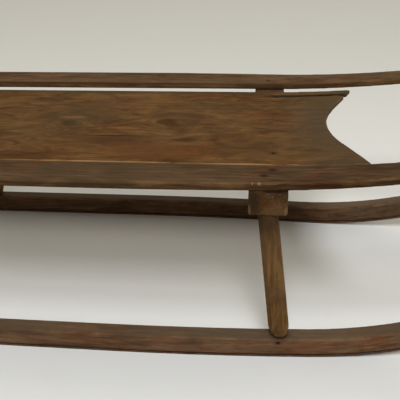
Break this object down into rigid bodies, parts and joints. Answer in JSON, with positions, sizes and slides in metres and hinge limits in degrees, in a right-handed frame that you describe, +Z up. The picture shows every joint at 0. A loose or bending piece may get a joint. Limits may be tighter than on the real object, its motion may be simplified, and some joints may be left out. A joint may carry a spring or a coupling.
{
  "type": "snow sled",
  "caption": "Old wooden child's snow sled with bent runners, raked legs, flat side rails and a scooped deck board, pulled by hand over snow.",
  "frame": {"origin": "on the floor under the middle of the sled's length and width", "axes": "+X forward to the rail tips, +Y to the sled's left, +Z up"},
  "size_m": [1.038, 0.356, 0.3213],
  "materials": {
    "deck_wood": "worn oiled",
    "rail_wood": "worn grey brown",
    "bar_wood": "worn oiled",
    "leg_wood": "worn oiled",
    "runner_wood": "worn grey brown",
    "rod_wood": "worn oiled",
    "shoe_iron": "dark worn iron"
  },
  "bodies": {
    "root": {"deck_board": "deck_wood", "left_rail": "rail_wood", "right_rail": "rail_wood", "front_cross_bar": "bar_wood", "rear_cross_bar": "bar_wood", "front_left_leg": "leg_wood", "front_right_leg": "leg_wood", "rear_left_leg": "leg_wood", "rear_right_leg": "leg_wood", "left_runner": "runner_wood", "right_runner": "runner_wood", "left_runner_shoe": "shoe_iron", "right_runner_shoe": "shoe_iron", "front_tie_rod": "rod_wood"}
  },
  "joints": []
}
